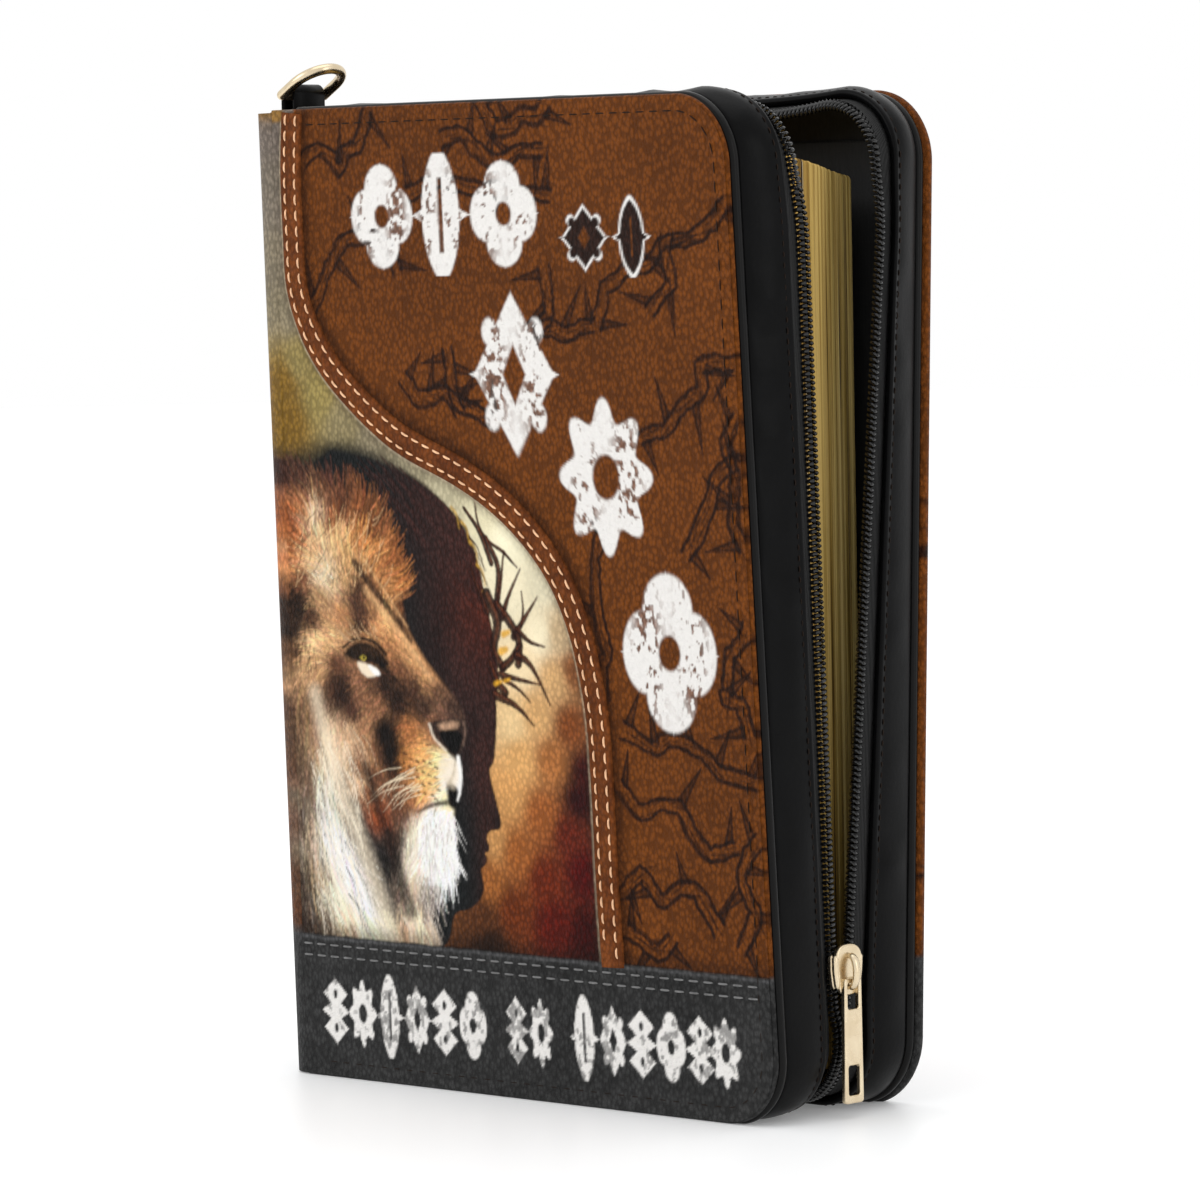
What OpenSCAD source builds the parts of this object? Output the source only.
// Zip-around book case holding a bound scripture text block, standing on its bottom edge with the zip partly open.
// X runs from the spine (-X) to the fore-edge (+X), Y from the front cover (-Y) to the back cover (+Y), Z is up.
// Each half of the case is drawn in its own plane (x from the hinge line, v inward from the outer face, z up)
// and then leaned outward about its foot, which is how the half-open case stands.

/* [Case] */
// Width of a cover from its hinge line to the fore-edge
cover_w = 146; // [140:1:160]
// Height of a cover
cover_h = 220; // [210:1:235]
// Thickness of the closed case over both outer faces
case_t = 47.5; // [46:0.5:50]
// Radius of the cover corners on the fore-edge side
corner_r = 15; // [8:1:20]
// Outward lean of each cover in degrees
lean = 2.25; // [0.5:0.05:3]
// Extra outward lean of each zip row against its cover in degrees
row_lean = 0.85; // [0:0.05:1]

/* [Layers] */
// Thickness of the printed outer skin
skin_t = 1.0; // [0.8:0.1:1.2]
// Thickness of the cover board
board_t = 1.6; // [1.2:0.1:1.8]
// Thickness of the lining
lining_t = 0.4; // [0.3:0.1:0.5]
// Thickness of the black side wall
gusset_t = 1.2; // [0.8:0.1:1.4]
// Width of the edge piping
piping_w = 3.4; // [2.5:0.1:4]

/* [Zip] */
// Width of one coil row
coil_w = 2.6; // [2.4:0.1:2.8]
// Height of the coil row over its tape
coil_h = 2.2; // [1.8:0.1:2.4]
// Largest outward flare of the side wall, at the top corner
flare = 6.5; // [0:0.5:8]
// Height of the slider's lower end
slider_z = 27; // [27:1:60]
// Length of the slider body
slider_l = 10; // [9:0.5:12]
// Length of the hanging pull
pull_l = 28; // [24:0.5:28]

/* [Book] */
// Thickness of the text block
block_t = 28; // [24:0.5:28]
// Width of a page from spine to fore-edge
page_w = 132; // [125:1:134]
// Height of a page
page_h = 198; // [190:1:200]
// Number of page sections
sections = 4; // [4]

/* [Ring] */
// Wire diameter of the carrying ring
wire_d = 2.4; // [2:0.1:2.5]
// Width of the ring between wire centres
ring_w = 13; // [13:0.5:15]
// Lean of the ring from upright, towards the fore-edge, in degrees
ring_lean = 59; // [0:1:70]

/* [Hidden] */
$fn = 48;

leather_brown = [0.36, 0.16, 0.06];
leather_black = [0.06, 0.06, 0.07];
lining_black = [0.04, 0.04, 0.05];
board_grey = [0.35, 0.33, 0.30];
gold = [0.85, 0.76, 0.55];
page_gold = [0.80, 0.66, 0.38];

half_t = case_t / 2;
foot_z = 24;                    // height of the line each half leans about
row_gap = 2.1;                  // centre of a coil row to the middle plane, zip closed
spine_bulge = 6;                // outer face of the spine beyond the hinge lines
case_x = (spine_bulge - cover_w - flare * (cover_h - corner_r - foot_z) / (cover_h - foot_z)) / 2;
gap = 0.1;                      // clearance between glued or sewn layers
panel_x = 1;                    // a cover's own layers start this far from its hinge line
board_inset = 2;                // the board and lining stop this far inside the skin's outline
stack = skin_t + board_t + lining_t;

// ---------- placing a half ----------

module lean_out() {
    translate([case_x, -half_t, foot_z * cos(lean)])
        rotate([lean, 0, 0])
            translate([0, 0, -foot_z])
                children();
}

module front_half() { lean_out() children(); }
module back_half() { mirror([0, 1, 0]) lean_out() children(); }

// ---------- the three-sided rim path: top leg, fore-edge, bottom leg ----------

rim_start = 8;                  // the side wall starts this far from the hinge line
leg_steps = 10;
arc_steps = 8;
fore_heights = [150, 100, 60, foot_z];  // where the fore-edge leg is sampled

// Each rim sample is [x, z, outward x, outward z]
rim = concat(
    [for (i = [0 : leg_steps]) [rim_start + i * (cover_w - corner_r - rim_start) / leg_steps, cover_h, 0, 1]],
    [for (i = [1 : arc_steps]) let (a = 90 - i * 90 / arc_steps)
        [cover_w - corner_r + corner_r * cos(a), cover_h - corner_r + corner_r * sin(a), cos(a), sin(a)]],
    [for (z = fore_heights) [cover_w, z, 1, 0]],
    [for (i = [0 : arc_steps]) let (a = -i * 90 / arc_steps)
        [cover_w - corner_r + corner_r * cos(a), corner_r + corner_r * sin(a), cos(a), sin(a)]],
    [for (i = [1 : leg_steps]) [cover_w - corner_r - i * (cover_w - corner_r - rim_start) / leg_steps, 0, 0, -1]]
);

function flare_at(x, z) = flare * pow(min(1, x / cover_w), 10) * max(0, z - foot_z) / (cover_h - foot_z);
function row_v(z) = half_t - row_gap - (z > foot_z ? (z - foot_z) * sin(row_lean) : (foot_z - z) * sin(lean));

// A profile point is [k, v, u]: v is measured from the outer face when k is 0, from the zip row when k is 1,
// and u is measured outward from the cover's outline. The wall flares out in proportion to v.
function rim_point(s, p) =
    let (row = row_v(s[1]), v = p[0] * row + p[1],
         out = p[2] + flare_at(s[0], s[1]) * max(0, v - stack) / (row - stack))
    [s[0] + s[2] * out, v, s[1] + s[3] * out];

module rim_sweep(profile, path = rim) {
    n = len(path);
    m = len(profile);
    points = [for (s = path) for (p = profile) rim_point(s, p)];
    sides = [for (i = [0 : n - 2]) for (j = [0 : m - 1]) let (
        a = i * m + j, b = i * m + (j + 1) % m, c = a + m, d = b + m)
        each [[a, c, b], [b, c, d]]];
    first = [for (j = [1 : m - 2]) [0, j, j + 1]];
    last = [for (j = [1 : m - 2]) let (k = (n - 1) * m) [k, k + j + 1, k + j]];
    polyhedron(points = points, faces = concat(first, sides, last), convexity = 6);
}

// ---------- cover layers ----------

// A flat rounded plate lying between depths v0 and v1
module cover_plate(x0, inset, v0, v1) {
    r = corner_r - inset;
    x1 = cover_w - inset;
    translate([0, v1, 0]) rotate([90, 0, 0])
        linear_extrude(height = v1 - v0) union() {
            translate([x0, inset]) square([x1 - r - x0, cover_h - 2 * inset]);
            translate([x1 - r - 1, inset + r]) square([r + 1, cover_h - 2 * (inset + r)]);
            for (z = [inset + r, cover_h - inset - r])
                translate([x1 - r, z]) circle(r);
        }
}

module plain_plate(x0, x1, z0, z1, v0, v1) {
    translate([x0, v0, z0]) cube([x1 - x0, v1 - v0, z1 - z0]);
}

module cover_skin() { cover_plate(panel_x, 0, 0, skin_t); }
module cover_board() { cover_plate(panel_x + 1, board_inset, skin_t, skin_t + board_t); }
module cover_lining() { cover_plate(panel_x + 1, board_inset, skin_t + board_t, stack); }

piping_v0 = skin_t + gap;
piping_v1 = skin_t + piping_w;
piping_reach = 1.8;             // how far the piping reaches in from the cover's outline
piping_round = 0.5;             // chamfer along the piping's outer edges
module piping() {
    rim_sweep([[0, piping_v0, -piping_reach], [0, piping_v1, -piping_reach], [0, piping_v1, -gap - piping_round],
        [0, piping_v1 - piping_round, -gap], [0, piping_v0 + piping_round, -gap],
        [0, piping_v0, -gap - piping_round]]);
}

wall_u = -0.4;                  // the side wall's outer face where it meets the piping
wall_edge = -4.7;               // the side wall's free edge, from the centre of the zip row
module gusset() {
    rim_sweep([[0, piping_v1 + gap, wall_u - gusset_t], [1, wall_edge, -gusset_t], [1, wall_edge, 0],
        [0, piping_v1 + gap, wall_u]]);
}

coil_base = -gusset_t - 0.6;    // underside of the coil row, so that its top stands just proud of the wall
coil_round = 0.6;               // chamfer along the coil row's outer edges
tape_w = 7.5;                   // width of the tape under a coil row and the wall
tape_t = 0.6;
module zip_tape() {
    top = coil_base - gap;
    rim_sweep([[1, -tape_w, top - tape_t], [1, 0, top - tape_t], [1, 0, top], [1, -tape_w, top]]);
}
module coil_row() {
    side = coil_w / 2;
    top = coil_base + coil_h;
    rim_sweep([[1, -side, coil_base], [1, side, coil_base], [1, side, top - coil_round],
        [1, side - coil_round, top], [1, -side + coil_round, top], [1, -side, top - coil_round]]);
}

stop_l = 2.6;                   // length of the stop at each end of a coil row
module zip_stops() {
    side = coil_w / 2;
    top = coil_base + coil_h;
    top_path = [[rim_start - stop_l, cover_h, 0, 1], [rim_start - gap, cover_h, 0, 1]];
    bottom_path = [[rim_start - gap, 0, 0, -1], [rim_start - stop_l, 0, 0, -1]];
    for (path = [top_path, bottom_path])
        rim_sweep([[1, -side, coil_base], [1, side, coil_base], [1, side, top], [1, -side, top]], path);
}

page_z0 = 9;                    // foot of the text block and of its boards
bible_board_t = 1;              // the bible's own limp cover
bible_board_v = stack + gap;
pocket_t = 0.4;
pocket_x = 70;                  // mouth of the sleeve that holds the bible's cover
pocket_v = bible_board_v + bible_board_t + gap;
module bible_board() {
    plain_plate(5, page_w + 6, page_z0, page_z0 + 200, bible_board_v, bible_board_v + bible_board_t);
}
module pocket() { plain_plate(pocket_x, cover_w - 6, page_z0 - 1, 210, pocket_v, pocket_v + pocket_t); }

// ---------- the soft joint between spine and cover ----------

joint_x = -2.2;                 // inner face of the joint skin where it runs round the spine's edge
joint_end = 0.5;                // where the joint meets the cover's own layers
joint_return = 8;               // how far in the joint runs along the spine's edge
joint_t = 0.8;
module joint_skin() {
    linear_extrude(height = cover_h)
        polygon([[joint_x - joint_t, 0.6], [joint_x - 0.2, 0], [joint_end, 0], [joint_end, 0.9], [joint_x, 0.9],
            [joint_x, joint_return], [joint_x - joint_t, joint_return]]);
}
module joint_lining() {
    x0 = joint_x + gap;
    translate([0, 0, board_inset]) linear_extrude(height = cover_h - 2 * board_inset)
        polygon([[x0, 1.0], [joint_end, 1.0], [joint_end, 1.0 + lining_t], [x0 + lining_t, 1.0 + lining_t],
            [x0 + lining_t, joint_return], [x0, joint_return]]);
}

// ---------- the spine ----------

spine_w0 = 34;                  // width of the spine panel at its foot
spine_grow = 16;                // how much wider it is at its head, where the halves are spread
spine_skin_x = -5;              // inner face of the spine's skin
spine_board_x = -3.6;           // inner face of its board
spine_lining_x = -3.1;          // inner face of its lining
spine_board_top = 205;          // the board stops under the ring's tab
module spine_plate(x0, x1, inset, z0, z1) {
    function half_w(z) = spine_w0 / 2 + spine_grow / 2 * z / cover_h - inset;
    translate([case_x + x0, 0, 0]) rotate([90, 0, 90]) linear_extrude(height = x1 - x0)
        polygon([[-half_w(z0), z0], [half_w(z0), z0], [half_w(z1), z1], [-half_w(z1), z1]]);
}
module spine_skin() { spine_plate(-spine_bulge, spine_skin_x, 0, 0, cover_h); }
module spine_board() { spine_plate(spine_skin_x, spine_board_x, 2.5, 3, spine_board_top); }
module spine_lining() { spine_plate(spine_board_x, spine_lining_x, 1, 1, cover_h); }

block_x = 4.6;                  // spine side of the page sections
bible_spine_x = 1.8;            // outer face of the bible's own spine
binding_x = 2.9;                // outer face of the glued binding strip
binding_t = 1.2;
band_r = 0.8;                   // radius of the head and tail bands
module bible_spine() {
    translate([case_x + bible_spine_x, -block_t / 2, page_z0]) cube([bible_board_t, block_t, page_h + 1]);
}
module binding_strip() {
    translate([case_x + binding_x, -block_t / 2, page_z0 + 1]) cube([binding_t, block_t, page_h - 4]);
}
module band(z) {
    translate([case_x + block_x - 0.9, -block_t / 2 + 1, z])
        rotate([-90, 0, 0]) cylinder(r = band_r, h = block_t - 2);
}

// ---------- carrying ring and its tab ----------

tab_y = -13;
tab_w = 9.6;
bar_x = case_x - 4.3;
bar_z = cover_h + 3.6;
wire_r = wire_d / 2;
leg_l = 4.6;                    // straight part of the ring between its bar and its bow
tab_z = 206;                    // foot of the tab, sewn inside the spine's skin
tab_t = 1.4;
fold_t = 1.3;                   // leather round the ring's bar
bar_clear = 0.08;

module ring_tab() {
    difference() {
        union() {
            translate([bar_x, tab_y - tab_w / 2, bar_z]) rotate([-90, 0, 0]) cylinder(r = wire_r + fold_t, h = tab_w);
            translate([bar_x - tab_t / 2, tab_y - tab_w / 2, tab_z]) cube([tab_t, tab_w, bar_z - tab_z]);
        }
        translate([bar_x, tab_y - tab_w, bar_z]) rotate([-90, 0, 0]) cylinder(r = wire_r + bar_clear, h = 2 * tab_w);
    }
}

// Drawn upright in the YZ plane with its bar on the Y axis, then leaned over
module carry_ring() {
    translate([bar_x, tab_y, bar_z]) rotate([0, ring_lean, 0]) union() {
        translate([0, -ring_w / 2, 0]) rotate([-90, 0, 0]) cylinder(r = wire_r, h = ring_w);
        for (s = [-1, 1]) {
            translate([0, s * ring_w / 2, 0]) sphere(wire_r);
            translate([0, s * ring_w / 2, 0]) cylinder(r = wire_r, h = leg_l);
        }
        translate([0, 0, leg_l]) rotate([90, 0, 90])
            rotate_extrude(angle = 180) translate([ring_w / 2, 0]) circle(wire_r);
    }
}

// ---------- slider and pull ----------

row_slope = atan(flare / (cover_h - foot_z));   // the row's outward slope up the fore-edge
top_u = 1.35;                   // underside of the slider's outer plate, over the wall's surface
bottom_u = -gusset_t - 2.3;     // top of the slider's inner plate, clear of the tape as a half swings away
inner_plate_w = 6.4;            // width of the slider's inner plate
plate_t = 1;                    // thickness of both slider plates
lip_h = 0.3;                    // depth of the outer plate's side lips
lip_y = 4.5;                    // lip centre from the slider's middle
post_w = 0.7;                   // width of the post between the rows
bar_u = 4.1;                    // the pull's pivot, over the wall's surface
pivot_z = 2.6;                  // the pivot over the slider's lower end
pin_r = 0.6;
bridge_w = 2.2;                 // width of the bridge that holds the pull's pin

// Local frame of the slider: u outward from the wall's surface, y across the rows, z up the rows
module on_rows(z) {
    translate([case_x + cover_w + (z - foot_z) * tan(row_slope), 0, z]) rotate([0, row_slope, 0]) children();
}

// A slider plate: wide at the mouth, narrower at the tail, seen square on
module plate_outline() {
    polygon([[-3.6, 0.6], [-3.0, 0], [3.0, 0], [3.6, 0.6], [4.9, 4.5], [4.9, 8.2], [3.6, slider_l], [-3.6, slider_l],
        [-4.9, 8.2], [-4.9, 4.5]]);
}
module slider_plate(u0, u1) {
    translate([u0, 0, 0]) rotate([90, 0, 90]) linear_extrude(height = u1 - u0) plate_outline();
}

module slider_body() {
    on_rows(slider_z) {
        slider_plate(top_u, top_u + plate_t);
        translate([bottom_u - plate_t, -inner_plate_w / 2, 0]) cube([plate_t, inner_plate_w, slider_l]);
        translate([bottom_u, -post_w / 2, slider_l - 2.6]) cube([top_u - bottom_u, post_w, 2.4]);
        for (s = [-1, 1])
            translate([top_u - lip_h, s * lip_y - 0.4, 4.6]) cube([lip_h, 0.8, 3.5]);
    }
}
module slider_bridge() {
    on_rows(slider_z) difference() {
        translate([0, bridge_w / 2, 0]) rotate([90, 0, 0]) linear_extrude(height = bridge_w)
            polygon([[top_u + plate_t, 0.6], [top_u + 2.6, 0.8], [bar_u + 0.9, 1.6], [bar_u + 1.2, 3.2], [bar_u + 1.1, 6.4],
                [bar_u + 0.2, 8.2], [top_u + plate_t, 9.0]]);
        translate([bar_u, 0, pivot_z]) rotate([90, 0, 0]) cylinder(r = pin_r + 0.1, h = 6, center = true);
    }
}

// The pull hangs straight down from its pin
pull_x = case_x + cover_w + (slider_z - foot_z) * tan(row_slope) + bar_u * cos(row_slope) + pivot_z * sin(row_slope);
pull_z = slider_z + pivot_z * cos(row_slope) - bar_u * sin(row_slope);
pull_w = 5.6;
pull_t = 1.2;
arm_l = 8.6;                    // length of the two arms between the pin and the plate
arm_w = 1.1;
window_w = 3;                   // the slot near the pull's lower end
window_l = 6;
module pull_tab() {
    translate([pull_x, 0, pull_z]) difference() {
        union() {
            rotate([90, 0, 0]) cylinder(r = pin_r, h = 4, center = true);
            for (s = [-1, 1])
                translate([0, s * 2.05, 0]) rotate([90, 0, 0]) cylinder(r = 0.9, h = arm_w, center = true);
            translate([-pull_t / 2, 0.2 - pull_w / 2, -arm_l]) cube([pull_t, arm_w, arm_l]);
            translate([-pull_t / 2, pull_w / 2 - 0.2 - arm_w, -arm_l]) cube([pull_t, arm_w, arm_l]);
            translate([-pull_t / 2, -pull_w / 2, -pull_l]) cube([pull_t, pull_w, pull_l - arm_l + 0.6]);
        }
        translate([-1, -window_w / 2, -pull_l + 1.6]) cube([2, window_w, window_l]);
    }
}

// ---------- text block ----------

section_t = block_t / sections;
fore_drop = 1.2;                // how much lower each section's fore-edge hangs than the one in front of it
// Section 1 is nearest the front cover
module page_section(i) {
    drop = 0.4 + fore_drop * (i - 1);
    translate([case_x + block_x, -block_t / 2 + i * section_t - gap, page_z0]) rotate([90, 0, 0])
        linear_extrude(height = section_t - 2 * gap)
            polygon([[0, 0.4], [page_w, 0], [page_w, page_h - drop], [page_w / 2, page_h - drop / 3], [0, page_h]]);
}

// ---------- nodes ----------

color(leather_brown) spine_skin();
color(board_grey) spine_board();
color(lining_black) spine_lining();
color(leather_black) bible_spine();
color(board_grey) binding_strip();
color(gold) band(page_z0 + page_h - 0.9);  // head_band
color(gold) band(page_z0 - 0.2);  // tail_band
color(leather_black) ring_tab();
color(gold) carry_ring();

color(leather_brown) front_half() joint_skin();  // front_joint_skin
color(lining_black) front_half() joint_lining();  // front_joint_lining
color(leather_brown) back_half() joint_skin();  // back_joint_skin
color(lining_black) back_half() joint_lining();  // back_joint_lining

color(leather_brown) front_half() cover_skin();  // front_skin
color(board_grey) front_half() cover_board();  // front_board
color(lining_black) front_half() cover_lining();  // front_lining
color(leather_black) front_half() piping();  // front_piping
color(leather_black) front_half() gusset();  // front_gusset
color(lining_black) front_half() zip_tape();  // front_zip_tape
color(leather_black) front_half() coil_row();  // front_coil
color(leather_black) front_half() zip_stops();  // front_zip_stops
color(leather_black) front_half() bible_board();  // bible_front_board
color(lining_black) front_half() pocket();  // front_pocket

color(leather_brown) back_half() cover_skin();  // back_skin
color(board_grey) back_half() cover_board();  // back_board
color(lining_black) back_half() cover_lining();  // back_lining
color(leather_black) back_half() piping();  // back_piping
color(leather_black) back_half() gusset();  // back_gusset
color(lining_black) back_half() zip_tape();  // back_zip_tape
color(leather_black) back_half() coil_row();  // back_coil
color(leather_black) back_half() zip_stops();  // back_zip_stops
color(leather_black) back_half() bible_board();  // bible_back_board
color(lining_black) back_half() pocket();  // back_pocket

color(gold) slider_body();
color(gold) slider_bridge();
color(gold) pull_tab();

color(page_gold) page_section(1);  // page_section_1
color(page_gold) page_section(2);  // page_section_2
color(page_gold) page_section(3);  // page_section_3
color(page_gold) page_section(4);  // page_section_4
